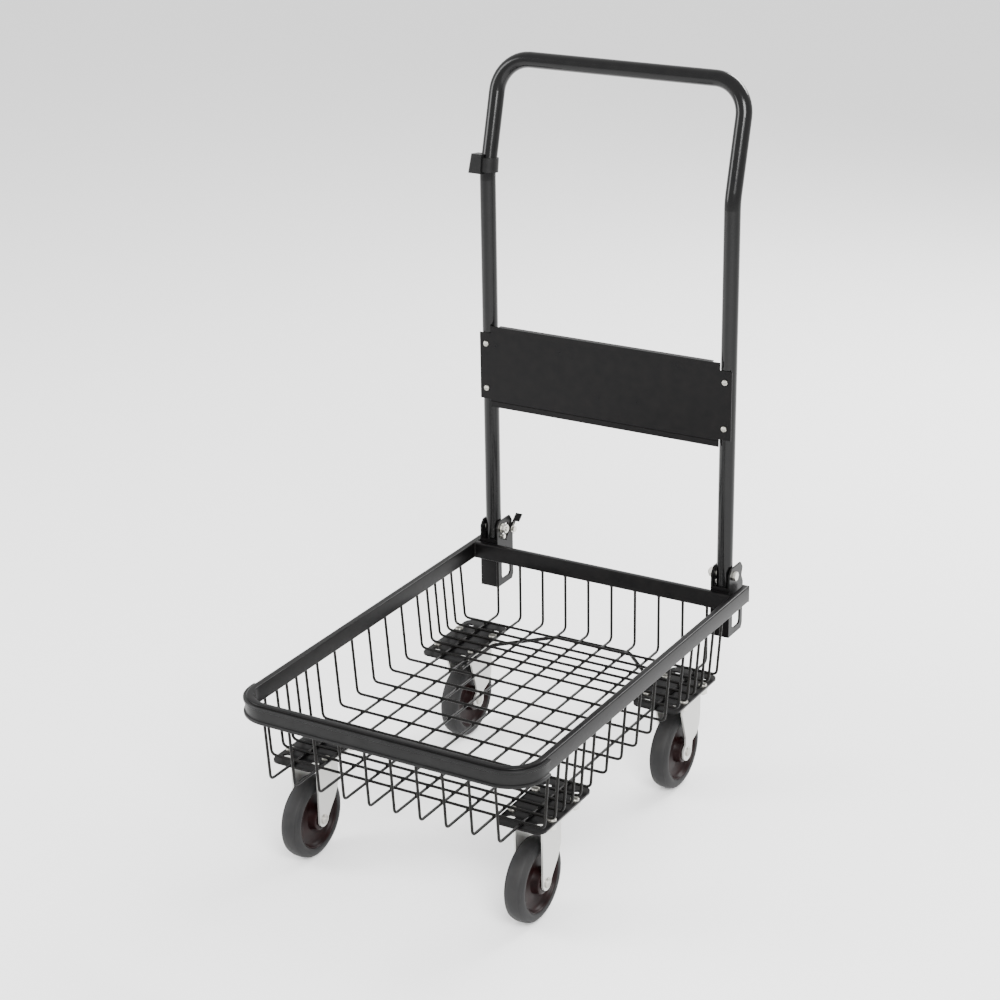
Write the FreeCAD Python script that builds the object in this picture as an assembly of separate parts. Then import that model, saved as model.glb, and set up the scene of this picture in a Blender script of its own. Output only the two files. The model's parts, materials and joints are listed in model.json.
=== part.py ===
import FreeCAD, Part
import math
import os

# Basket trolley with a folding push handle.  Millimetres, +Z up, +Y towards the
# handle, origin on the floor under the middle of the whole trolley.

# ---- driving dimensions -------------------------------------------------
rim_width = 480.0            # over the two side rails
rim_length = 706.0           # front face of the rim to the ends of the side rails
rail_height = 27.0           # rectangular rim tube, upright side
rail_depth = 11.0            # rectangular rim tube, flat side
rail_wall = 1.5
rim_corner_radius = 52.0     # outer radius of the two front corners
rim_rear_overhang = 39.0     # side rails run this far past the rear rail's back face

basket_depth = 125.0         # rim top down to the underside of the floor wires
wire_diameter = 4.3
wire_bend_radius = 14.0      # centreline
wire_weld_gap = 0.05
long_wire_count = 10
long_wire_pitch = 42.0
wide_pitch = 46.8            # cross wires in the middle of the floor
narrow_pitches = (29.5, 24.8, 24.8, 24.8, 29.5)   # cross wires over each plate pair
wide_gap_count = 6
cross_wire_middle = 344.5    # middle of the cross wire pattern, back from the rim front
side_taper = 7.0             # each side wall leans in this much from rim to floor
front_taper = 8.0
rod_diameter = 6.0

handle_top = 1087.0          # top of the grip bar
handle_spacing = 416.0       # between the two post centrelines
handle_tube_diameter = 25.0
handle_tube_wall = 1.5
handle_corner_radius = 52.0
handle_bend_height = 905.0   # the posts lean back above this height
handle_lean = 15.0           # degrees
handle_bend_radius = 90.0
handle_tail = 84.0           # post below the fold pivot

pivot_above_rim = 23.0
pivot_bolt_diameter = 8.0
bracket_thickness = 3.0
bracket_height_above = 37.0  # ear top above the rim top
bracket_height_below = 77.0  # bracket bottom below the rim top
bracket_ear_depth = 50.0
bracket_side_gap = 0.6       # ear to handle tube
stop_gap = 0.3               # post to bracket web
running_gap = 0.3

panel_top = 660.0
panel_bottom = 526.0
panel_tab_inset = 12.0       # the screw tabs are this much shorter at each end
panel_sheet = 1.2
panel_hem = 9.0
screw_inset = 18.0           # screw centres from the tab ends

wheel_diameter = 125.0
tyre_width = 32.0
tyre_section = 19.0          # radial depth of the rubber
hub_width = 38.0
axle_diameter = 10.0
caster_height = 161.0        # floor to the top of the caster's own plate
caster_spacing_x = 376.0     # between left and right caster centres
front_caster_back = 139.0    # caster centres, back from the rim front
rear_caster_back = 553.0
swivel_trail = 33.0
fork_sheet = 3.0
fork_gap = 1.5               # hub end to fork leg

corner_plate_length = 150.0
corner_plate_width = 78.0
corner_plate_sheet = 3.0
corner_hole_diameter = 15.0
corner_hole_x = 24.0
corner_hole_y = 52.0
caster_plate_length = 90.0
caster_plate_width = 77.0
caster_plate_sheet = 3.0
bolt_x = 31.6
bolt_y = 33.0
bolt_diameter = 8.0
bolt_head_height = 3.2
nut_height = 6.5
nut_flats = 13.0

bumper_height = 26.0
bumper_thick = 5.0
bumper_drop = 1.5            # below the rim tube
bumper_wrap = 60.0           # how far it runs back along each side

# ---- worked out from the driving dimensions -----------------------------
half_width = rim_width / 2.0
tube_radius = handle_tube_diameter / 2.0
grip_z = handle_top - tube_radius
grip_reach = (grip_z - handle_bend_height) * math.tan(math.radians(handle_lean))
post_back = rim_length - rim_rear_overhang + bracket_thickness + stop_gap + tube_radius
overall_length = bumper_thick + post_back + grip_reach + tube_radius
front_y = bumper_thick - overall_length / 2.0
rail_end_y = front_y + rim_length
rear_rail_back = rail_end_y - rim_rear_overhang
post_y = front_y + post_back
grip_y = post_y + grip_reach
front_caster_y = front_y + front_caster_back
rear_caster_y = front_y + rear_caster_back
floor_low = caster_height + corner_plate_sheet + wire_weld_gap
rim_top = floor_low + basket_depth
rail_bottom = rim_top - rail_height
long_z = floor_low + wire_diameter / 2.0
cross_z = long_z + wire_diameter + wire_weld_gap
post_x = handle_spacing / 2.0
pivot_z = rim_top + pivot_above_rim
wheel_radius = wheel_diameter / 2.0
corner_plate_top = floor_low - wire_weld_gap
corner_plate_low = corner_plate_top - corner_plate_sheet
caster_plate_top = corner_plate_low
caster_plate_low = caster_plate_top - caster_plate_sheet
caster_x = caster_spacing_x / 2.0
fork_inner = hub_width / 2.0 + fork_gap
fork_outer = fork_inner + fork_sheet
ear_inner = tube_radius + bracket_side_gap
ear_outer = ear_inner + bracket_thickness
bracket_front = rear_rail_back
bracket_web_back = bracket_front + bracket_thickness

V = FreeCAD.Vector
X = V(1, 0, 0)
Y = V(0, 1, 0)
Z = V(0, 0, 1)
os.makedirs("parts", exist_ok=True)


def save(name, shapes):
    solids = []
    for shape in shapes if isinstance(shapes, list) else [shapes]:
        solids += shape.Solids
    whole = solids[0] if len(solids) == 1 else Part.makeCompound(solids)
    whole.exportStep("parts/" + name + ".step")


def box(x0, x1, y0, y1, z0, z1):
    return Part.makeBox(x1 - x0, y1 - y0, z1 - z0, V(x0, y0, z0))


def rod(radius, start, end):
    along = end - start
    return Part.makeCylinder(radius, along.Length, start, along)


def ring(outer, inner, start, end):
    return rod(outer, start, end).cut(rod(inner, start, end))


def rounded_path(points, radius):
    """Straight runs through the points, joined by tangent arcs."""
    edges = []
    here = points[0]
    for i in range(1, len(points) - 1):
        a = (points[i - 1] - points[i]).normalize()
        b = (points[i + 1] - points[i]).normalize()
        half = a.getAngle(b) / 2.0
        r = radius[i - 1] if isinstance(radius, (list, tuple)) else radius
        back = r / math.tan(half)
        start = points[i] + a * back
        end = points[i] + b * back
        centre = points[i] + (a + b).normalize() * (r / math.sin(half))
        middle = centre + (points[i] - centre).normalize() * r
        if (start - here).Length > 1e-6:
            edges.append(Part.LineSegment(here, start).toShape())
        edges.append(Part.Arc(start, middle, end).toShape())
        here = end
    edges.append(Part.LineSegment(here, points[-1]).toShape())
    return Part.Wire(edges)


def sweep_round(path, radius):
    start = path.Edges[0].firstVertex().Point
    heading = path.Edges[0].tangentAt(path.Edges[0].FirstParameter)
    circle = Part.Wire(Part.makeCircle(radius, start, heading))
    return path.makePipeShell([circle], True, False)


def polygon(points, thickness_vector):
    face = Part.Face(Part.makePolygon(points + [points[0]]))
    return face.extrude(thickness_vector)


def mirrored(shape):
    return shape.mirror(V(0, 0, 0), X)


def mirror_pair(shape):
    return [shape, mirrored(shape)]


def hexagon(flats, start, length, axis):
    radius = flats / math.sqrt(3.0)
    points = []
    for i in range(7):
        a = math.radians(60 * i)
        if axis == "x":
            points.append(start + V(0, radius * math.cos(a), radius * math.sin(a)))
        else:
            points.append(start + V(radius * math.cos(a), radius * math.sin(a), 0))
    along = X if axis == "x" else Z
    return Part.Face(Part.makePolygon(points)).extrude(along * length)


# ---- rim ----------------------------------------------------------------
def hoop_block(inset, z0, z1, end_y):
    """U-shaped block open to the rear: the outline of the hoop, moved in by inset."""
    r = rim_corner_radius - inset
    w = half_width - inset
    f = front_y + inset
    block = box(-w, w, f, end_y, z0, z1)
    edges = [e for e in block.Edges if abs(e.tangentAt(e.FirstParameter).z) > 0.9
             and e.BoundBox.YMax < f + 1.0]
    return block.makeFillet(r, edges)


def rim_hoop():
    outer = hoop_block(0, rail_bottom, rim_top, rail_end_y)
    hollow = hoop_block(rail_wall, rail_bottom + rail_wall, rim_top - rail_wall, rail_end_y)
    core = hoop_block(rail_depth - rail_wall, rail_bottom + rail_wall,
                      rim_top - rail_wall, rail_end_y)
    inside = hoop_block(rail_depth, rail_bottom, rim_top, rail_end_y)
    return outer.cut(inside).cut(hollow.cut(core))


def rear_rail():
    w = half_width - rail_depth
    y0 = rear_rail_back - rail_depth
    shell = box(-w, w, y0, rear_rail_back, rail_bottom, rim_top)
    return shell.cut(box(-w, w, y0 + rail_wall, rear_rail_back - rail_wall,
                         rail_bottom + rail_wall, rim_top - rail_wall))


def rail_plugs():
    plug_depth = 12.0
    lip = 2.0
    x0 = half_width - rail_depth
    head = box(x0, half_width, rail_end_y, rail_end_y + lip, rail_bottom, rim_top)
    head = head.makeFillet(1.2, [e for e in head.Edges if e.BoundBox.YMin > rail_end_y + lip - 0.1])
    shank = box(x0 + rail_wall, half_width - rail_wall, rail_end_y - plug_depth, rail_end_y,
                rail_bottom + rail_wall, rim_top - rail_wall)
    return mirror_pair(head.fuse(shank))


def front_bumper():
    z0 = rail_bottom - bumper_drop
    z1 = z0 + bumper_height
    end = front_y + bumper_wrap
    lip = 2.2
    outer = hoop_block(-bumper_thick, z0, z1, end)
    strip = outer.cut(hoop_block(0, z0, z1, end))
    groove = hoop_block(-bumper_thick, z0 + lip * 2, z1 - lip * 2, end)
    groove = groove.cut(hoop_block(-bumper_thick + lip, z0 + lip * 2, z1 - lip * 2, end))
    return strip.cut(groove)


# ---- basket wires -------------------------------------------------------
def long_xs():
    first = -(long_wire_count - 1) * long_wire_pitch / 2.0
    return [first + i * long_wire_pitch for i in range(long_wire_count)]


def cross_ys():
    span = wide_gap_count * wide_pitch + 2 * sum(narrow_pitches)
    steps = list(narrow_pitches) + [wide_pitch] * wide_gap_count + list(reversed(narrow_pitches))
    ys = [front_y + cross_wire_middle - span / 2.0]
    for step in steps:
        ys.append(ys[-1] + step)
    return ys


wire_radius = wire_diameter / 2.0
wall_clearance = 0.15        # the tilted top of a leaning wire just clears the rail
wall_top_z = rail_bottom - wall_clearance
side_top_x = half_width - rail_depth / 2.0
side_low_x = side_top_x - side_taper
front_top_y = front_y + rail_depth / 2.0
front_low_y = front_top_y + front_taper
rear_top_y = rear_rail_back - rail_depth / 2.0


def wall_wire(top, corner, inward):
    """A wall wire from the rail down round its bend to where the floor wire starts."""
    end = corner + inward * (wire_bend_radius + 4.0)
    return sweep_round(rounded_path([top, corner, end], wire_bend_radius), wire_radius)


def floor_end():
    return wire_bend_radius + 4.0


def side_wires():
    wires = []
    for y in cross_ys():
        wires.append(wall_wire(V(side_top_x, y, wall_top_z), V(side_low_x, y, cross_z), -X))
    return wires


def front_wires():
    return [wall_wire(V(x, front_top_y, wall_top_z), V(x, front_low_y, long_z), Y)
            for x in long_xs()]


def rear_wires():
    return [wall_wire(V(x, rear_top_y, wall_top_z), V(x, rear_top_y, long_z), -Y)
            for x in long_xs()]


def floor_wires():
    wires = []
    for x in long_xs():
        wires.append(rod(wire_radius, V(x, front_low_y + floor_end(), long_z),
                         V(x, rear_top_y - floor_end(), long_z)))
    for y in cross_ys():
        wires.append(rod(wire_radius, V(-side_low_x + floor_end(), y, cross_z),
                         V(side_low_x - floor_end(), y, cross_z)))
    return wires


def floor_rod():
    """Stiffening rod under the floor: a U that follows the rear edge."""
    z = floor_low - wire_weld_gap - rod_diameter / 2.0
    leg_x = caster_x - corner_plate_width / 2.0 - rod_diameter
    front = rear_caster_y - corner_plate_length / 2.0 - 12.0
    turn = rear_caster_y + 10.0
    back = rear_top_y - wire_bend_radius - 6.0
    chamfer = back - turn
    points = [V(-leg_x, front, z), V(-leg_x, turn, z), V(-leg_x + chamfer, back, z),
              V(leg_x - chamfer, back, z), V(leg_x, turn, z), V(leg_x, front, z)]
    return sweep_round(rounded_path(points, 18.0), rod_diameter / 2.0)


# ---- corner plates ------------------------------------------------------
def bolt_spots(cx, cy):
    return [(cx + sx * bolt_x, cy + sy * bolt_y) for sx in (-1, 1) for sy in (-1, 1)]


def corner_plate(cx, cy):
    lx, ly = corner_plate_width / 2.0, corner_plate_length / 2.0
    plate = box(cx - lx, cx + lx, cy - ly, cy + ly, corner_plate_low, corner_plate_top)
    plate = plate.makeFillet(14.0, [e for e in plate.Edges
                                    if abs(e.tangentAt(e.FirstParameter).z) > 0.9])
    for sx in (-1, 1):
        for sy in (-1, 1):
            spot = V(cx + sx * corner_hole_x, cy + sy * corner_hole_y, corner_plate_low - 1)
            plate = plate.cut(Part.makeCylinder(corner_hole_diameter / 2.0, 10, spot))
    for x, y in bolt_spots(cx, cy):
        plate = plate.cut(Part.makeCylinder(bolt_diameter / 2.0 + 0.3, 10,
                                            V(x, y, corner_plate_low - 1)))
    return plate


def caster_bolt(x, y):
    """Low domed head on the corner plate, shank down through both plates."""
    top = corner_plate_top
    head = rod(6.6, V(x, y, top), V(x, y, top + bolt_head_height))
    head = head.makeFillet(1.8, [head.Edges[0]])
    shank_low = caster_plate_low - nut_height - 2.0
    return head.fuse(rod(bolt_diameter / 2.0, V(x, y, shank_low), V(x, y, top)))


def caster_nut(x, y):
    nut = hexagon(nut_flats, V(x, y, caster_plate_low - nut_height), nut_height, "z")
    return nut.cut(rod(bolt_diameter / 2.0, V(x, y, 0), V(x, y, rim_top)))


# ---- casters ------------------------------------------------------------
def caster_plate(cx, cy, bored):
    lx, ly = caster_plate_width / 2.0, caster_plate_length / 2.0
    plate = box(cx - lx, cx + lx, cy - ly, cy + ly, caster_plate_low, caster_plate_top)
    plate = plate.makeFillet(8.0, [e for e in plate.Edges
                                   if abs(e.tangentAt(e.FirstParameter).z) > 0.9])
    for x, y in bolt_spots(cx, cy):
        plate = plate.cut(rod(bolt_diameter / 2.0 + 0.3, V(x, y, 0), V(x, y, rim_top)))
    if bored:
        plate = plate.cut(rod(kingpin_radius + 0.1, V(cx, cy, 0), V(cx, cy, rim_top)))
    return plate


kingpin_radius = 6.0
race_radius = 18.0           # pitch circle of the swivel balls
ball_radius = 2.8
ball_gap = 0.05
ball_count = 16
race_disc = 4.0
race_skirt = 1.5
race_outer = race_radius + ball_radius + 0.7 + race_skirt
fork_crown_top = caster_plate_low - race_disc - 2 * (ball_radius + ball_gap)
fork_crown_low = fork_crown_top - fork_sheet
wheel_axle_z = wheel_radius
swivel_eye = 11.5            # radius of the fork leg's round end
fixed_eye = 14.5
swivel_leg_depth = 52.5      # front edge to rear edge at the crown
fixed_leg_front = 20.5       # crown edges, from the axle
fixed_leg_rear = 43.0


def ball_ring(cx, cy):
    z = fork_crown_top + ball_gap + ball_radius
    balls = []
    for i in range(ball_count):
        a = 2 * math.pi * i / ball_count
        balls.append(Part.makeSphere(ball_radius, V(cx + race_radius * math.cos(a),
                                                    cy + race_radius * math.sin(a), z)))
    return balls


def race_cup(cx, cy):
    """Upper race with a skirt round the balls, fixed under the caster plate."""
    low = fork_crown_top + running_gap
    cup = ring(race_outer, kingpin_radius, V(cx, cy, low), V(cx, cy, caster_plate_low))
    return cup.cut(rod(race_outer - race_skirt, V(cx, cy, low),
                       V(cx, cy, caster_plate_low - race_disc)))


def kingpin(cx, cy):
    top = caster_plate_top
    low = fork_crown_low - 4.0
    pin = rod(kingpin_radius, V(cx, cy, low), V(cx, cy, top))
    return pin.fuse(rod(kingpin_radius + 4.0, V(cx, cy, low - 3.0),
                        V(cx, cy, fork_crown_low - running_gap)))


def fork_leg(side, cx, y_axle, outline, eye_radius):
    """One pressed leg. The outline is (back from the axle, height), closed by a round eye."""
    x0 = cx + (fork_inner if side > 0 else -fork_outer)
    plate = polygon([V(x0, y_axle + back, z) for back, z in outline], X * fork_sheet)
    eye = rod(eye_radius, V(x0, y_axle, wheel_axle_z), V(x0 + fork_sheet, y_axle, wheel_axle_z))
    leg = plate.fuse(eye).removeSplitter()
    return leg.cut(rod(axle_diameter / 2.0 + 0.05, V(x0 - 1, y_axle, wheel_axle_z),
                       V(x0 + fork_sheet + 1, y_axle, wheel_axle_z)))


def swivel_fork(cx, cy):
    y_axle = cy - swivel_trail
    front = -swivel_eye
    rear = front + swivel_leg_depth
    z = wheel_axle_z
    outline = [(front, z), (front, fork_crown_top), (rear, fork_crown_top), (rear, z + 50.0),
               (rear - 4.0, z + 36.0), (rear - 12.0, z + 22.0), (rear - 22.0, z + 10.0),
               (swivel_eye, z)]
    fork = box(cx - fork_outer, cx + fork_outer, y_axle + front, cy + 27,
               fork_crown_low, fork_crown_top)
    fork = fork.cut(rod(kingpin_radius + running_gap, V(cx, cy, 0), V(cx, cy, rim_top)))
    for side in (-1, 1):
        fork = fork.fuse(fork_leg(side, cx, y_axle, outline, swivel_eye))
    return fork.removeSplitter()


def fixed_fork(cx, cy):
    z = wheel_axle_z
    outline = [(0, z), (-6.0, z + 12.0), (-6.0, z + 25.0), (-fixed_leg_front, z + 70.0),
               (-fixed_leg_front, caster_plate_low), (fixed_leg_rear, caster_plate_low),
               (fixed_leg_rear, z + 48.0), (fixed_leg_rear - 3.0, z + 30.0),
               (fixed_leg_rear - 12.0, z + 18.0), (fixed_eye + 2.0, z + 12.0), (fixed_eye, z)]
    fork = box(cx - fork_outer, cx + fork_outer, cy - fixed_leg_front, cy + fixed_leg_rear,
               caster_plate_low - fork_sheet, caster_plate_low)
    for side in (-1, 1):
        fork = fork.fuse(fork_leg(side, cx, cy, outline, fixed_eye))
    return fork.removeSplitter()


def axle_bolt(cx, y):
    """Low round head on the +X leg; the thread and nut are on the other leg."""
    z = wheel_axle_z
    face = cx + fork_outer
    head = rod(7.5, V(face, y, z), V(face + 2.4, y, z))
    head = head.makeFillet(1.4, [e for e in head.Edges if e.BoundBox.XMin > face + 2.3])
    return head.fuse(rod(axle_diameter / 2.0, V(cx - fork_outer - 8.5, y, z), V(face, y, z)))


def axle_nut(cx, y):
    z = wheel_axle_z
    nut = hexagon(15.0, V(cx - fork_outer - 7.0, y, z), 7.0, "x")
    return nut.cut(rod(axle_diameter / 2.0, V(cx - 60, y, z), V(cx, y, z)))


sleeve_wall = 2.0


def axle_sleeve(cx, y):
    """Steel spacer tube clamped between the fork legs; the hub turns on it."""
    z = wheel_axle_z
    return ring(axle_diameter / 2.0 + sleeve_wall, axle_diameter / 2.0 + 0.05,
                V(cx - fork_inner, y, z), V(cx + fork_inner, y, z))


def revolve_x(points, cx, y):
    """Turn (offset along X, radius) points about the wheel axis."""
    ps = [V(cx + a, y, wheel_axle_z + r) for a, r in points]
    face = Part.Face(Part.makePolygon(ps + [ps[0]]))
    return face.revolve(V(cx, y, wheel_axle_z), X, 360)


def tyre(cx, y):
    w = tyre_width / 2.0
    outer = wheel_radius
    inner = wheel_radius - tyre_section
    half = [(w, inner), (w, outer - 12.0), (w * 0.95, outer - 8.0), (w * 0.84, outer - 4.3),
            (w * 0.66, outer - 1.8), (w * 0.44, outer - 0.5), (w * 0.2, outer)]
    return revolve_x([(-x, r) for x, r in half] + list(reversed(half)), cx, y)


def hub(cx, y):
    w = tyre_width / 2.0
    rim_r = wheel_radius - tyre_section
    bore = axle_diameter / 2.0 + sleeve_wall + 0.08
    web = 4.0
    boss = 15.0
    h = hub_width / 2.0
    return revolve_x([(-h, bore), (-h, boss), (-web, boss + 3.0), (-web, rim_r - 6.0),
                      (-w + 1.0, rim_r - 4.0), (-w + 1.0, rim_r), (w - 1.0, rim_r),
                      (w - 1.0, rim_r - 4.0), (web, rim_r - 6.0), (web, boss + 3.0),
                      (h, boss), (h, bore)], cx, y)


# ---- handle brackets ----------------------------------------------------
notch_inner = 10.0
notch_outer = 18.5
stud_radius = 3.5
stud_drop = 14.0             # latch stud below the fold pivot
latch_pivot_back = 24.0      # latch pivot behind the fold pivot
latch_pivot_drop = 9.0


def bracket():
    """U channel for the right-hand post: web to the rail, ears to the rear."""
    z0 = rim_top - bracket_height_below
    z1 = rim_top + bracket_height_above
    web_top = rim_top + 6.0
    back = bracket_front + bracket_ear_depth
    web = box(post_x - ear_outer, post_x + ear_outer, bracket_front, bracket_web_back, z0, web_top)
    body = web
    for x0 in (post_x - ear_outer, post_x + ear_inner):
        ear = polygon([V(x0, bracket_front, z0), V(x0, back - 4, z0), V(x0, back, z0 + 8),
                       V(x0, back, rim_top + 2), V(x0, back - 6, rim_top + 14),
                       V(x0, back - 2, rim_top + 27), V(x0, back - 9, z1),
                       V(x0, bracket_front + 8, z1), V(x0, bracket_front, z1 - 10)],
                      X * bracket_thickness)
        window = box(x0 - 1, x0 + bracket_thickness + 1, bracket_web_back + 10, back - 9,
                     z0 + 10, rim_top - 26)
        window = window.makeFillet(7.0, [e for e in window.Edges
                                         if abs(e.tangentAt(e.FirstParameter).x) > 0.9])
        body = body.fuse(ear.cut(window))
    body = body.cut(rod(pivot_bolt_diameter / 2.0 + 0.05, V(post_x - 60, post_y, pivot_z),
                        V(post_x + 60, post_y, pivot_z)))
    inner_side = box(post_x - ear_outer - 1, post_x - ear_inner + 1, post_y - 6, back + 40,
                     pivot_z - 40, pivot_z + 5)
    arc = ring(notch_outer, notch_inner, V(post_x - ear_outer - 1, post_y, pivot_z),
               V(post_x - ear_inner + 1, post_y, pivot_z))
    body = body.cut(arc.common(inner_side))
    lever_hole = rod(latch_pin_radius, V(post_x - ear_outer - 1, latch_y, latch_z),
                     V(post_x - ear_inner + 1, latch_y, latch_z))
    return body.cut(lever_hole).removeSplitter()


latch_pin_radius = 3.0
latch_y = post_y + latch_pivot_back
latch_z = pivot_z - latch_pivot_drop
latch_sheet = 2.5
latch_gap = 1.0              # ear to lever
latch_out = post_x - ear_outer - latch_gap          # lever face next to the ear
washer_thick = 1.0


def pivot_bolt():
    head = hexagon(13.0, V(post_x + ear_outer, post_y, pivot_z), 5.0, "x")
    end = V(post_x - ear_outer - washer_thick - 9.5, post_y, pivot_z)
    return head.fuse(rod(pivot_bolt_diameter / 2.0, end, V(post_x + ear_outer, post_y, pivot_z)))


def pivot_washer():
    return ring(7.5, pivot_bolt_diameter / 2.0 + 0.05,
                V(post_x - ear_outer - washer_thick, post_y, pivot_z),
                V(post_x - ear_outer, post_y, pivot_z))


def pivot_nut():
    x0 = post_x - ear_outer - washer_thick - 7.5
    nut = hexagon(13.0, V(x0, post_y, pivot_z), 7.5, "x")
    return nut.cut(rod(pivot_bolt_diameter / 2.0, V(x0 - 1, post_y, pivot_z),
                       V(x0 + 9, post_y, pivot_z)))


def latch_pin():
    start = V(post_x - ear_inner, latch_y, latch_z)
    face = latch_out - latch_sheet - running_gap
    pin = rod(latch_pin_radius, V(face - 5.0, latch_y, latch_z), start)
    return pin.fuse(rod(5.0, V(face - 6.5, latch_y, latch_z), V(face - 5.0, latch_y, latch_z)))


latch_release = 22.0         # degrees from hooked to just released


def latch_lever():
    """Drawn hooked behind the stud, then turned to its released rest position."""
    x0 = latch_out - latch_sheet
    nose_y = post_y + stud_radius + running_gap
    nose_z = pivot_z - stud_drop
    plate = polygon([V(x0, nose_y, nose_z + 1.5), V(x0, nose_y + 5, nose_z + 3.0),
                     V(x0, latch_y - 3, latch_z + 5.0), V(x0, latch_y + 4, latch_z + 5.0),
                     V(x0, latch_y + 26, latch_z + 12.0), V(x0, latch_y + 27, latch_z + 9.0),
                     V(x0, latch_y + 5, latch_z - 4.5), V(x0, latch_y - 4, latch_z - 6.0),
                     V(x0, nose_y + 2, nose_z - 4.5), V(x0, nose_y, nose_z - 2.5)],
                    X * latch_sheet)
    tab = polygon([V(x0 - 9, latch_y + 12, latch_z + 7.55), V(x0 - 9, latch_y + 26, latch_z + 12.0),
                   V(x0 - 9, latch_y + 27, latch_z + 9.9), V(x0 - 9, latch_y + 13, latch_z + 5.4)],
                  X * 9.0)
    lever = plate.fuse(tab)
    lever = lever.cut(rod(latch_pin_radius + 0.08, V(x0 - 20, latch_y, latch_z),
                          V(x0 + 20, latch_y, latch_z)))
    lever.rotate(V(x0, latch_y, latch_z), X, latch_release)
    return lever


def latch_spring():
    """Two coils of spring wire round the pin, one leg resting on the rail bracket."""
    wire = 0.7
    coil = 4.2
    x_start = latch_out - latch_sheet - running_gap - 1.2
    rings = []
    for i in range(2):
        rings.append(Part.makeTorus(coil, wire, V(x_start - i * 1.5, latch_y, latch_z), X))
    return rings[0].fuse(rings[1])


# ---- handle -------------------------------------------------------------
handle_tail_z = pivot_z - handle_tail


def handle_path(low):
    points = [V(-post_x, post_y, low), V(-post_x, post_y, handle_bend_height),
              V(-post_x, grip_y, grip_z), V(post_x, grip_y, grip_z),
              V(post_x, post_y, handle_bend_height), V(post_x, post_y, low)]
    radii = (handle_bend_radius, handle_corner_radius, handle_corner_radius, handle_bend_radius)
    return rounded_path(points, radii)


def handle_tube():
    path = handle_path(handle_tail_z)
    tube = sweep_round(path, tube_radius).cut(sweep_round(path, tube_radius - handle_tube_wall))
    for side in (-1, 1):
        x = side * post_x
        tube = tube.cut(rod(sleeve_outer, V(x - 20, post_y, pivot_z), V(x + 20, post_y, pivot_z)))
        tube = tube.cut(rod(stud_radius, V(x, post_y, pivot_z - stud_drop),
                            V(x - side * 20, post_y, pivot_z - stud_drop)))
        for z in screw_heights():
            tube = tube.cut(rod(screw_radius, V(x, post_y - 20, z), V(x, post_y, z)))
    return tube


sleeve_outer = 6.0
screw_radius = 2.4


def screw_heights():
    return [panel_bottom + panel_tab_inset + screw_inset, panel_top - panel_tab_inset - screw_inset]


def pivot_sleeve():
    inner = pivot_bolt_diameter / 2.0 + 0.06
    return ring(sleeve_outer, inner, V(post_x - tube_radius, post_y, pivot_z),
                V(post_x + tube_radius, post_y, pivot_z))


def latch_stud():
    """Pin through the inner wall of the post; the latch hooks behind its end."""
    z = pivot_z - stud_drop
    tip = latch_out - latch_sheet - 1.0
    return rod(stud_radius, V(tip, post_y, z), V(post_x - tube_radius + 4.0, post_y, z))


def post_plug():
    """Moulded plug closing the lower end of a post."""
    z = handle_tail_z
    inner = tube_radius - handle_tube_wall - 0.05
    return rod(inner, V(post_x, post_y, z), V(post_x, post_y, z + 12)).fuse(
        rod(tube_radius - 0.4, V(post_x, post_y, z - 2), V(post_x, post_y, z)))


def panel():
    """Pressed sheet panel: hemmed long edges, and a tab wrapped onto each post."""
    face_y = post_y - tube_radius - panel_sheet
    inner_x = post_x - tube_radius + 4.0
    sheet = box(-inner_x, inner_x, face_y, face_y + panel_sheet, panel_bottom, panel_top)
    for z in (panel_bottom, panel_top - panel_hem):
        sheet = sheet.fuse(box(-inner_x, inner_x, face_y - panel_sheet, face_y, z, z + panel_hem))
    lip = 8.0
    sheet = sheet.fuse(box(-inner_x + 14, inner_x - 14, face_y, face_y + lip, panel_bottom,
                           panel_bottom + panel_sheet))
    sheet = sheet.fuse(box(-inner_x + 14, inner_x - 14, face_y, face_y + lip,
                           panel_top - panel_sheet, panel_top))
    tab = box(inner_x, post_x + tube_radius - 1.0, face_y, face_y + panel_sheet,
              panel_bottom + panel_tab_inset, panel_top - panel_tab_inset)
    for one in mirror_pair(tab):
        sheet = sheet.fuse(one)
    for x in (-post_x, post_x):
        for z in screw_heights():
            sheet = sheet.cut(rod(screw_radius, V(x, face_y - 5, z), V(x, face_y + 5, z)))
    return sheet.removeSplitter()


def panel_screws():
    screws = []
    face_y = post_y - tube_radius - panel_sheet
    for x in (-post_x, post_x):
        for z in screw_heights():
            head = rod(4.6, V(x, face_y - 2.6, z), V(x, face_y, z))
            head = head.makeFillet(1.4, [e for e in head.Edges if e.BoundBox.YMax < face_y - 2.5])
            slot = box(x - 5, x + 5, face_y - 4, face_y - 1.8, z - 0.6, z + 0.6)
            shank = rod(screw_radius, V(x, face_y, z), V(x, face_y + 9, z))
            screws.append(head.cut(slot).fuse(shank))
    return screws


clip_height = 30.0
clip_above_bend = 12.0       # middle of the clip above the handle's bend


def handle_clip():
    """Moulded clip on the left post that hooks over the side rail when folded."""
    x = -post_x
    z0 = handle_bend_height + clip_above_bend - clip_height / 2.0
    z1 = z0 + clip_height
    wall = 4.0
    r = tube_radius + wall
    collar = rod(r, V(x, post_y, z0 + 3), V(x, post_y, z1 - 5))
    block = polygon([V(x - r - 9, post_y - r - 3, z0), V(x - r - 5, post_y - r - 3, z1),
                     V(x - 2, post_y - r - 3, z1), V(x - 2, post_y - r - 3, z0)], Y * (r + 8))
    block = block.makeChamfer(3.0, [e for e in block.Edges if e.BoundBox.XMax < x - r - 4
                                    and e.BoundBox.YMax < post_y - r - 2])
    clip = collar.fuse(block)
    clip.rotate(V(x, post_y, handle_bend_height), X, -handle_lean / 2.0)
    return clip.cut(sweep_round(handle_path(handle_tail_z), tube_radius))


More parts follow.
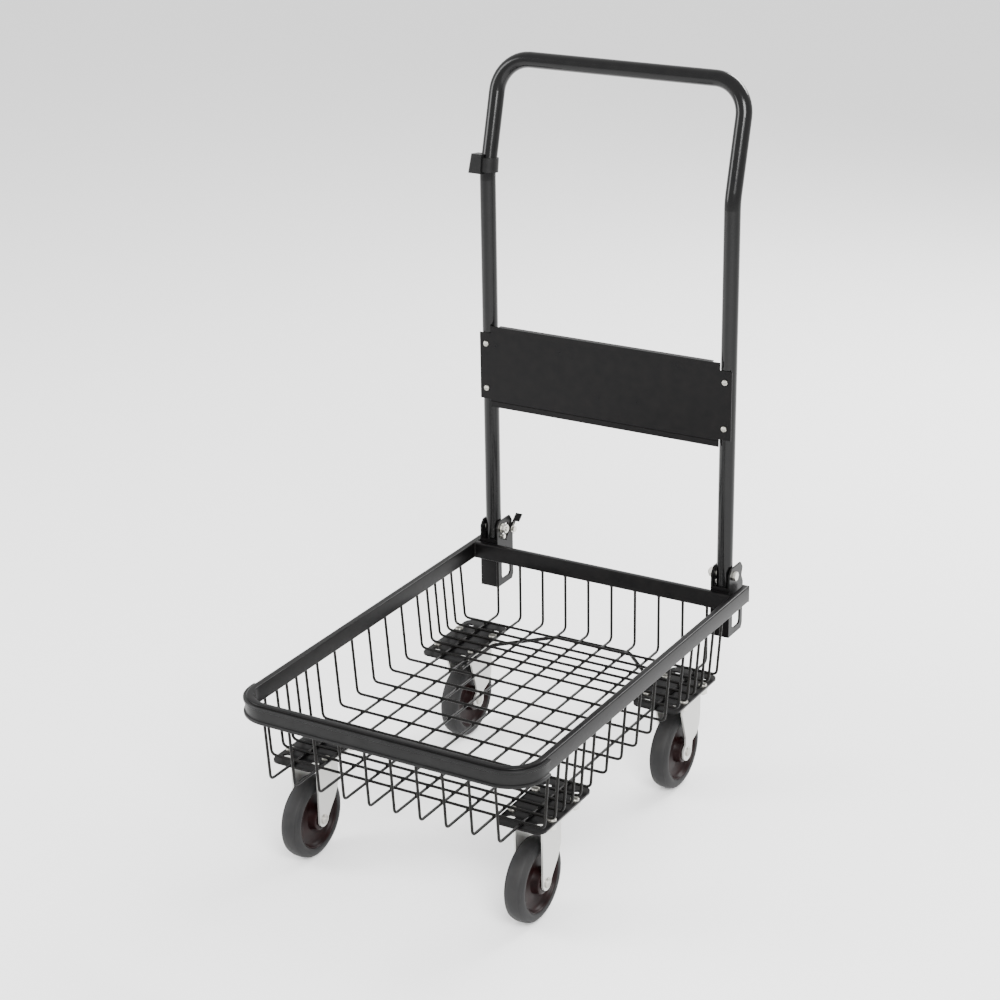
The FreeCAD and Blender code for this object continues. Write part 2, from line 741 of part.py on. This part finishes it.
# ---- write every node ---------------------------------------------------
save("rim_hoop", rim_hoop())
save("rear_rail", rear_rail())
save("rail_end_plugs", rail_plugs())
save("front_bumper", front_bumper())
save("floor_wires", floor_wires())
right_wires = side_wires()
save("side_wires_right", right_wires)
save("side_wires_left", [mirrored(w) for w in right_wires])
save("front_wires", front_wires())
save("rear_wires", rear_wires())
save("floor_rod", floor_rod())

casters = [(end + "_" + side, cx, cy, cy - (swivel_trail if end == "front" else 0.0))
           for side, cx in (("left", -caster_x), ("right", caster_x))
           for end, cy in (("front", front_caster_y), ("rear", rear_caster_y))]
for tag, cx, cy, y_axle in casters:
    save("corner_plate_" + tag, corner_plate(cx, cy))
    save("tyre_" + tag, tyre(cx, y_axle))
    save("hub_" + tag, hub(cx, y_axle))
    if tag.startswith("front"):
        save("fork_" + tag, swivel_fork(cx, cy))
        save("swivel_balls_" + tag, ball_ring(cx, cy))
        save("axle_bolt_" + tag, axle_bolt(cx, y_axle))
        save("axle_nut_" + tag, axle_nut(cx, y_axle))
        save("axle_sleeve_" + tag, axle_sleeve(cx, y_axle))
    else:
        save("fork_" + tag, fixed_fork(cx, cy))

fronts = [c for c in casters if c[0].startswith("front")]
rears = [c for c in casters if c[0].startswith("rear")]
save("caster_plates_front", [caster_plate(cx, cy, True) for _, cx, cy, _ in fronts])
save("caster_plates_rear", [caster_plate(cx, cy, False) for _, cx, cy, _ in rears])
save("kingpins", [kingpin(cx, cy) for _, cx, cy, _ in fronts])
save("race_cups", [race_cup(cx, cy) for _, cx, cy, _ in fronts])
save("axle_bolts_rear", [axle_bolt(cx, cy) for _, cx, cy, _ in rears])
save("axle_nuts_rear", [axle_nut(cx, cy) for _, cx, cy, _ in rears])
save("axle_sleeves_rear", [axle_sleeve(cx, cy) for _, cx, cy, _ in rears])

all_spots = [spot for cx in (-caster_x, caster_x) for cy in (front_caster_y, rear_caster_y)
             for spot in bolt_spots(cx, cy)]
save("caster_bolts", [caster_bolt(x, y) for x, y in all_spots])
save("caster_nuts", [caster_nut(x, y) for x, y in all_spots])

right_bracket = bracket()
save("bracket_right", right_bracket)
save("bracket_left", mirrored(right_bracket))
save("pivot_bolts", mirror_pair(pivot_bolt()))
save("pivot_washers", mirror_pair(pivot_washer()))
save("pivot_nuts", mirror_pair(pivot_nut()))
save("latch_pins", mirror_pair(latch_pin()))
save("latch_springs", mirror_pair(latch_spring()))
right_lever = latch_lever()
save("latch_lever_right", right_lever)
save("latch_lever_left", mirrored(right_lever))

save("handle_tube", handle_tube())
save("pivot_sleeves", mirror_pair(pivot_sleeve()))
save("latch_studs", mirror_pair(latch_stud()))
save("post_plugs", mirror_pair(post_plug()))
save("back_panel", panel())
save("panel_screws", panel_screws())
save("handle_clip", handle_clip())
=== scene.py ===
import json
import math
import bmesh
import bpy
from mathutils import Matrix, Vector


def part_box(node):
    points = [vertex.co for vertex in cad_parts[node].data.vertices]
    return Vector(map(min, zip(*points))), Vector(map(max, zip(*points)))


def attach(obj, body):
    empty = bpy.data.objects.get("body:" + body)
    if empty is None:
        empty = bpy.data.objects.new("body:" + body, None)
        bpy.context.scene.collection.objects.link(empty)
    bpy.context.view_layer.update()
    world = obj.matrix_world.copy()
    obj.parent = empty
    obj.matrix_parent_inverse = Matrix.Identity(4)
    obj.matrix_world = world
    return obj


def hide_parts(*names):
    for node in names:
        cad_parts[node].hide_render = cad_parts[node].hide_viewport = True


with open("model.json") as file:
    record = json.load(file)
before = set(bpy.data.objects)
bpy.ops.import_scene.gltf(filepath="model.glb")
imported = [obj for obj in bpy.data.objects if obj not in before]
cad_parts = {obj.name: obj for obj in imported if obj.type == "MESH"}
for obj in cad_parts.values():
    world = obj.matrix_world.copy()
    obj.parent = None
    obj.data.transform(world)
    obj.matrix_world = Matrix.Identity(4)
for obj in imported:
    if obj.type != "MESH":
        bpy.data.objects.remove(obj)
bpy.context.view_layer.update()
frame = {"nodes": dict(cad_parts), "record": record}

nodes = frame["nodes"]
MM = 0.001


# ---- materials ----------------------------------------------------------
def material(name, base, second, rough, rough_span, metallic=0.0, scale=60.0,
             bump_scale=900.0, bump=0.02, wear=None, spec=0.5):
    """Procedural finish: colour and roughness variation, fine bump and worn edges.

    scale and bump_scale are noise scales per metre, bump is in millimetres."""
    mat = bpy.data.materials.new(name)
    mat.use_nodes = True
    tree = mat.node_tree
    bsdf = tree.nodes["Principled BSDF"]
    new, link = tree.nodes.new, tree.links.new
    bsdf.inputs["Metallic"].default_value = metallic
    bsdf.inputs["Specular IOR Level"].default_value = spec
    coord = new("ShaderNodeTexCoord")
    big = new("ShaderNodeTexNoise")
    big.inputs["Scale"].default_value = scale
    big.inputs["Detail"].default_value = 6.0
    link(coord.outputs["Object"], big.inputs["Vector"])
    ramp = new("ShaderNodeValToRGB")
    ramp.color_ramp.elements[0].position = 0.3
    ramp.color_ramp.elements[1].position = 0.7
    ramp.color_ramp.elements[0].color = (*base, 1)
    ramp.color_ramp.elements[1].color = (*second, 1)
    link(big.outputs["Fac"], ramp.inputs["Fac"])
    colour = ramp.outputs["Color"]
    span = new("ShaderNodeMapRange")
    span.inputs["To Min"].default_value = rough - rough_span
    span.inputs["To Max"].default_value = rough + rough_span
    link(big.outputs["Fac"], span.inputs["Value"])
    link(span.outputs["Result"], bsdf.inputs["Roughness"])
    if wear:
        edge = new("ShaderNodeNewGeometry")
        mask = new("ShaderNodeValToRGB")
        mask.color_ramp.elements[0].position = 0.53
        mask.color_ramp.elements[1].position = 0.62
        link(edge.outputs["Pointiness"], mask.inputs["Fac"])
        mix = new("ShaderNodeMix")
        mix.data_type = "RGBA"
        link(mask.outputs["Color"], mix.inputs["Factor"])
        link(colour, mix.inputs["A"])
        mix.inputs["B"].default_value = (*wear, 1)
        colour = mix.outputs["Result"]
    link(colour, bsdf.inputs["Base Color"])
    fine = new("ShaderNodeTexNoise")
    fine.inputs["Scale"].default_value = bump_scale
    fine.inputs["Detail"].default_value = 3.0
    link(coord.outputs["Object"], fine.inputs["Vector"])
    relief = new("ShaderNodeBump")
    relief.inputs["Strength"].default_value = 0.35
    relief.inputs["Distance"].default_value = bump * MM
    link(fine.outputs["Fac"], relief.inputs["Height"])
    link(relief.outputs["Normal"], bsdf.inputs["Normal"])
    return mat


mats = {
    "satin_paint": material("satin_paint", (0.0022, 0.0022, 0.0024), (0.0042, 0.0038, 0.0038), 0.3, 0.06,
                            spec=0.1, bump_scale=700, bump=0.12),
    "gloss_paint": material("gloss_paint", (0.0018, 0.0018, 0.002), (0.003, 0.003, 0.003), 0.17, 0.04,
                            spec=0.22, bump_scale=350, bump=0.08),
    "coated_wire": material("coated_wire", (0.0022, 0.0022, 0.0022), (0.005, 0.0045, 0.004), 0.32, 0.07,
                            spec=0.12, bump_scale=900, bump=0.1),
    "zinc_plate": material("zinc_plate", (0.30, 0.295, 0.28), (0.40, 0.395, 0.37), 0.42, 0.07,
                           metallic=0.75, scale=38, bump_scale=500, bump=0.06, wear=(0.5, 0.5, 0.48)),
    "zinc_hardware": material("zinc_hardware", (0.24, 0.235, 0.21), (0.38, 0.37, 0.34), 0.34, 0.08,
                              metallic=0.9, scale=150, bump_scale=900, bump=0.05,
                              wear=(0.55, 0.54, 0.5)),
    "tyre_rubber": material("tyre_rubber", (0.009, 0.009, 0.0095), (0.015, 0.0146, 0.0146), 0.6, 0.08,
                            scale=45, bump_scale=1300, bump=0.12, spec=0.2),
    "hub_plastic": material("hub_plastic", (0.0045, 0.0018, 0.0018), (0.009, 0.0022, 0.0022), 0.4, 0.06,
                            spec=0.12,
                            scale=70, bump_scale=600, bump=0.05),
    "bumper_rubber": material("bumper_rubber", (0.003, 0.003, 0.003), (0.006, 0.006, 0.006), 0.4, 0.06,
                              spec=0.16,
                              scale=50, bump_scale=1100, bump=0.1),
    "black_plastic": material("black_plastic", (0.003, 0.003, 0.0032), (0.006, 0.006, 0.006), 0.42, 0.06,
                              spec=0.16,
                              scale=80, bump_scale=1000, bump=0.12),
}
slot_of = {part["node"]: part["material_slot"] for part in frame["record"]["subparts"]}


def paint(obj, slot_name):
    obj.data.materials.clear()
    obj.data.materials.append(mats[slot_name])


for name, obj in nodes.items():
    paint(obj, slot_of[name])
    obj.data.set_sharp_from_angle(angle=math.radians(35))


# ---- mesh helpers -------------------------------------------------------
def piece(name, bm, slot_name, body, stands_for=()):
    """Make the mesh an object that rides on a body and stands for some CAD nodes."""
    mesh = bpy.data.meshes.new(name)
    bmesh.ops.recalc_face_normals(bm, faces=bm.faces)
    bm.to_mesh(mesh)
    bm.free()
    obj = bpy.data.objects.new(name, mesh)
    bpy.context.scene.collection.objects.link(obj)
    mesh.shade_smooth()
    mesh.set_sharp_from_angle(angle=math.radians(40))
    paint(obj, slot_name)
    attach(obj, body)
    if stands_for:
        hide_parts(*stands_for)


def skin(bm, rings, closed=False):
    """Faces between matching rings of points, with end caps unless the rings close up."""
    made = [[bm.verts.new(p) for p in ring] for ring in rings]
    count = len(made[0])
    pairs = list(zip(made, made[1:])) + ([(made[-1], made[0])] if closed else [])
    for a, b in pairs:
        for i in range(count):
            j = (i + 1) % count
            bm.faces.new((a[i], a[j], b[j], b[i]))
    if not closed:
        bm.faces.new(list(reversed(made[0])))
        bm.faces.new(made[-1])


def rounded_rect(w, h, r, steps=4):
    """Outline of a rectangle with round corners, round its middle."""
    pts = []
    for cx, cy, a0 in ((w / 2 - r, h / 2 - r, 0), (-w / 2 + r, h / 2 - r, 90),
                       (-w / 2 + r, -h / 2 + r, 180), (w / 2 - r, -h / 2 + r, 270)):
        for k in range(steps + 1):
            a = math.radians(a0 + 90.0 * k / steps)
            pts.append((cx + r * math.cos(a), cy + r * math.sin(a)))
    return pts


def sweep_flat(bm, path, profile):
    """Sweep (out, up) profile points along a path that lies in a level plane."""
    rings = []
    for i, p in enumerate(path):
        before = path[max(i - 1, 0)]
        after = path[min(i + 1, len(path) - 1)]
        t = (Vector(after) - Vector(before)).normalized()
        side = Vector((t.y, -t.x, 0))
        rings.append([Vector(p) + side * u + Vector((0, 0, v)) for u, v in profile])
    skin(bm, rings)


def sweep_tube(bm, path, radius, sides=10):
    """Round wire along any open path, its frame carried along without twist."""
    pts = [Vector(p) for p in path]
    t = (pts[1] - pts[0]).normalized()
    n = t.orthogonal().normalized()
    rings = []
    for i, p in enumerate(pts):
        t = (pts[min(i + 1, len(pts) - 1)] - pts[max(i - 1, 0)]).normalized()
        n = (n - t * n.dot(t)).normalized()
        b = t.cross(n)
        angles = [2 * math.pi * k / sides for k in range(sides)]
        rings.append([p + (n * math.cos(a) + b * math.sin(a)) * radius for a in angles])
    skin(bm, rings)


def lathe_x(bm, centre, profile, steps=96):
    """Closed loop of (offset along X, radius) turned round an axis along X."""
    rings = []
    for i in range(steps):
        a = 2 * math.pi * i / steps
        rings.append([Vector(centre) + Vector((x, r * math.cos(a), r * math.sin(a)))
                      for x, r in profile])
    skin(bm, rings, closed=True)


def arc_path(front_y, half, r, end_y, z, steps=14):
    """U path of the rim: down the left side, round the front, up the right side."""
    pts = [(-half, end_y, z)]
    for cx, a0 in ((-half + r, 180), (half - r, 270)):
        for k in range(steps + 1):
            a = math.radians(a0 + 90.0 * k / steps)
            pts.append((cx + r * math.cos(a), front_y + r + r * math.sin(a), z))
    pts.append((half, end_y, z))
    return pts


# ---- rim, rear rail and bumper ------------------------------------------
lo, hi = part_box("rim_hoop")
rail_deep = 11 * MM
rail_high = hi.z - lo.z
rail_edge = 2.2 * MM
corner = 52 * MM
bm = bmesh.new()
profile = rounded_rect(rail_deep, rail_high, rail_edge)
sweep_flat(bm, arc_path(lo.y + rail_deep / 2, hi.x - rail_deep / 2, corner - rail_deep / 2,
                        hi.y, (lo.z + hi.z) / 2), profile)
piece("rim_tube", bm, "satin_paint", "frame", ["rim_hoop"])
rail_lo, rail_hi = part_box("rear_rail")
bm = bmesh.new()
mid_y, mid_z = (rail_lo.y + rail_hi.y) / 2, (rail_lo.z + rail_hi.z) / 2
sweep_flat(bm, [(rail_lo.x, mid_y, mid_z), (rail_hi.x, mid_y, mid_z)], profile)
piece("rear_cross_tube", bm, "satin_paint", "frame", ["rear_rail"])

blo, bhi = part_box("front_bumper")
tall = bhi.z - blo.z
proud = 5 * MM
# bumper section: out as a share of its thickness, up as a share of its height
lip = [(0, -0.5), (0.85, -0.5), (1.0, -0.47), (1.0, -0.36), (0.85, -0.33), (0.52, -0.30),
       (0.5, -0.12), (0.56, 0.0), (0.5, 0.12), (0.52, 0.30), (0.85, 0.33), (1.0, 0.36), (1.0, 0.47),
       (0.85, 0.5), (0, 0.5)]
bm = bmesh.new()
sweep_flat(bm, arc_path(blo.y + proud, bhi.x - proud, corner, bhi.y, (blo.z + bhi.z) / 2),
           [(u * proud, v * tall) for u, v in lip])
piece("bumper_strip", bm, "bumper_rubber", "frame", ["front_bumper"])

# ---- weld beads ---------------------------------------------------------
def blob(bm, centre, size):
    """Squashed ball of weld metal."""
    made = bmesh.ops.create_icosphere(bm, subdivisions=2, radius=1.0)
    bmesh.ops.scale(bm, vec=Vector(size), verts=made["verts"])
    bmesh.ops.translate(bm, vec=Vector(centre), verts=made["verts"])


def islands(node):
    """Box of every loose solid in a node."""
    bm = bmesh.new()
    bm.from_mesh(nodes[node].data)
    bmesh.ops.remove_doubles(bm, verts=bm.verts, dist=1e-6)
    seen, out = set(), []
    for v in bm.verts:
        if v in seen:
            continue
        stack, lo, hi = [v], v.co.copy(), v.co.copy()
        seen.add(v)
        while stack:
            w = stack.pop()
            lo = Vector(map(min, lo, w.co))
            hi = Vector(map(max, hi, w.co))
            for e in w.link_edges:
                o = e.other_vert(w)
                if o not in seen:
                    seen.add(o)
                    stack.append(o)
        out.append((lo, hi))
    bm.free()
    return out


def round_path(points, radius, steps=6):
    """Open path with its inner corners rounded."""
    pts = [Vector(p) for p in points]
    out = [pts[0]]
    for p, q, r in zip(pts, pts[1:], pts[2:]):
        a, b = (p - q).normalized(), (r - q).normalized()
        back = radius / math.tan(a.angle(b) / 2.0)
        s, e = q + a * back, q + b * back
        for k in range(steps + 1):
            t = k / steps
            out.append(s * (1 - t) ** 2 + q * 2 * t * (1 - t) + e * t * t)
    return out + [pts[-1]]


rim_lo, rim_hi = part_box("rim_hoop")
wall_bend = 9 * MM
side_lean, front_lean = 7 * MM, 8 * MM
for node, label in (("side_wires_left", "wall_left"), ("side_wires_right", "wall_right"),
                    ("front_wires", "wall_front"), ("rear_wires", "wall_rear")):
    bm = bmesh.new()
    for a, b in islands(node):
        if "side" in node:
            sx = 1 if b.x > 0 else -1
            r = (b.y - a.y) / 2
            top_x = rim_hi.x - rail_deep / 2
            y = (a.y + b.y) / 2
            ends = [(sx * top_x, y, b.z), (sx * (top_x - side_lean), y, a.z + r),
                    (a.x if sx > 0 else b.x, y, a.z + r)]
        else:
            r = (b.x - a.x) / 2
            x = (a.x + b.x) / 2
            if node == "front_wires":
                top_y = rim_lo.y + rail_deep / 2
                ends = [(x, top_y, b.z), (x, top_y + front_lean, a.z + r), (x, b.y, a.z + r)]
            else:
                ends = [(x, b.y - r, b.z), (x, b.y - r, a.z + r), (x, a.y, a.z + r)]
        sweep_tube(bm, round_path(ends, wall_bend), r, 14)
    piece("wires_" + label, bm, "coated_wire", "frame", [node])

floor = islands("floor_wires")
longs = [(a, b) for a, b in floor if b.y - a.y > b.x - a.x]
crosses = [(a, b) for a, b in floor if b.y - a.y < b.x - a.x]
wire = (crosses[0][1].y - crosses[0][0].y) / 2
bm = bmesh.new()
for la, lb in longs:
    x = (la.x + lb.x) / 2
    for ca, cb in crosses:
        y = (ca.y + cb.y) / 2
        blob(bm, (x, y, lb.z), (wire * 1.25, wire * 1.25, wire * 0.55))
for node in ("side_wires_left", "side_wires_right", "front_wires", "rear_wires"):
    for a, b in islands(node):
        top = b.z - 0.6 * MM
        if "side" in node:
            x = (b.x if abs(b.x) > abs(a.x) else a.x)
            x -= math.copysign(wire, x)
            blob(bm, (x, (a.y + b.y) / 2, top), (wire * 1.5, wire * 1.7, 1.6 * MM))
        else:
            y = (a.y + wire) if node == "front_wires" else (b.y - wire)
            blob(bm, ((a.x + b.x) / 2, y, top), (wire * 1.7, wire * 1.5, 1.6 * MM))
for sx in (-1, 1):
    for y in (rail_lo.y, rail_hi.y):
        for k in range(9):
            z = rail_lo.z + (rail_hi.z - rail_lo.z) * (0.1 + 0.1 * k)
            blob(bm, (sx * rail_hi.x, y, z), (1.8 * MM, 1.2 * MM, 2.0 * MM))
piece("weld_beads", bm, "coated_wire", "frame")

# ---- wheels: tyres and hub discs ----------------------------------------
# wheel sections: (offset along the axle, radius) in millimetres
tyre_profile = [(-13.4, 47.0), (-14.8, 47.6), (-15.7, 49.6), (-15.5, 52.6), (-14.6, 55.8), (-12.6, 58.8),
                (-9.6, 61.0), (-6.0, 62.1), (-2.0, 62.5), (2.0, 62.5), (6.0, 62.1), (9.6, 61.0),
                (12.6, 58.8), (14.6, 55.8), (15.5, 52.6), (15.7, 49.6), (14.8, 47.6), (13.4, 47.0)]
hub_profile = [(-19.0, 7.2), (-19.0, 9.2), (-18.3, 9.8), (-18.3, 13.2), (-19.0, 13.9), (-18.9, 16.6),
               (-18.0, 17.8), (-12.0, 18.8), (-7.4, 20.5), (-5.6, 24.0), (-5.0, 34.0), (-5.6, 40.5),
               (-8.0, 43.6), (-12.2, 44.8), (-14.2, 45.6), (-14.6, 46.3), (-13.8, 47.4)]
mould_line_x, mould_line_foot, mould_line_tip = 11.4, 59.4, 60.25
hub_loop = hub_profile + [(-x, r) for x, r in reversed(hub_profile)]
for tag in ("front_left", "front_right", "rear_left", "rear_right"):
    lo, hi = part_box("tyre_" + tag)
    centre = (lo + hi) / 2
    wheel = "wheel_" + tag
    bm = bmesh.new()
    lathe_x(bm, centre, [(x * MM, r * MM) for x, r in tyre_profile])
    for x in (-mould_line_x, mould_line_x):
        lathe_x(bm, centre, [((x - 0.35) * MM, mould_line_foot * MM),
                             (x * MM, mould_line_tip * MM),
                             ((x + 0.35) * MM, mould_line_foot * MM)])
    piece("tread_" + tag, bm, "tyre_rubber", wheel, ["tyre_" + tag])
    bm = bmesh.new()
    lathe_x(bm, centre, [(x * MM, r * MM) for x, r in hub_loop])
    piece("wheel_disc_" + tag, bm, "hub_plastic", wheel, ["hub_" + tag])

# ---- latch springs ------------------------------------------------------
spring_wire = 0.65 * MM
spring_turns = 2.4
fixed_leg, free_leg = 15 * MM, 11 * MM
for side, sx, (lo, hi) in (("left", -1, min(islands("latch_springs"), key=lambda b: b[0].x)),
                           ("right", 1, max(islands("latch_springs"), key=lambda b: b[0].x))):
    c = (lo + hi) / 2
    r = (hi.z - lo.z) / 2 - 0.7 * MM
    span = (hi.x - lo.x) - 1.4 * MM
    pts = [c + Vector((-sx * span / 2, fixed_leg, r))]
    for k in range(73):
        a = math.radians(90 + 360 * spring_turns * k / 72)
        pts.append(c + Vector((-sx * span / 2 + sx * span * k / 72,
                               r * math.cos(a), r * math.sin(a))))
    t = (pts[-1] - pts[-2]).normalized()
    pts.append(pts[-1] + t * free_leg)
    bm = bmesh.new()
    sweep_tube(bm, pts, spring_wire, 8)
    piece("torsion_spring_" + side, bm, "zinc_hardware", "frame",
          ["latch_springs"] if side == "left" else ())

# ---- studio -------------------------------------------------------------
white = bpy.data.materials.new("studio_floor")
white.use_nodes = True
floor_shader = white.node_tree.nodes["Principled BSDF"]
floor_shader.inputs["Base Color"].default_value = (0.96, 0.96, 0.96, 1)
floor_shader.inputs["Roughness"].default_value = 0.7
bm = bmesh.new()
bmesh.ops.create_grid(bm, x_segments=2, y_segments=2, size=25.0)
mesh = bpy.data.meshes.new("studio_floor")
bm.to_mesh(mesh)
bm.free()
floor_obj = bpy.data.objects.new("studio_floor", mesh)
floor_obj.data.materials.append(white)
bpy.context.scene.collection.objects.link(floor_obj)

world = bpy.data.worlds.new("studio")
bpy.context.scene.world = world
world.use_nodes = True
world.node_tree.nodes["Background"].inputs["Color"].default_value = (1, 1, 1, 1)
world.node_tree.nodes["Background"].inputs["Strength"].default_value = 1.5


def area(name, place, target, size, power):
    """Rectangular soft light aimed at a point."""
    light = bpy.data.lights.new(name, "AREA")
    light.shape = "RECTANGLE"
    light.size, light.size_y = size
    light.energy = power
    obj = bpy.data.objects.new(name, light)
    obj.location = place
    obj.rotation_euler = (Vector(target) - Vector(place)).to_track_quat("-Z", "Y").to_euler()
    bpy.context.scene.collection.objects.link(obj)


area("key_light", (2.2, -2.4, 2.6), (0, 0, 0.4), (1.6, 1.6), 260)
area("fill_light", (-2.8, -1.6, 1.8), (0, 0, 0.5), (1.4, 2.2), 110)
area("rim_light", (0.6, 2.8, 2.4), (0, 0, 0.5), (2.0, 1.0), 170)

# ---- camera -------------------------------------------------------------
azimuth, elevation, roll = (math.radians(a) for a in (30.504, 21.615, -0.912))
target = Vector((-0.00196, -0.01333, 0.51166))
distance = 3.4425
back = Vector((math.sin(azimuth) * math.cos(elevation), -math.cos(azimuth) * math.cos(elevation),
               math.sin(elevation)))
cam = bpy.data.cameras.new("camera")
cam.lens = 85.14
cam.sensor_width = 36.0
cam.clip_end = 100.0
camera = bpy.data.objects.new("camera", cam)
turn = back.to_track_quat("Z", "Y").to_matrix().to_4x4() @ Matrix.Rotation(roll, 4, "Z")
camera.matrix_world = Matrix.Translation(target + back * distance) @ turn
bpy.context.scene.collection.objects.link(camera)
bpy.context.scene.camera = camera

bpy.context.view_layer.update()
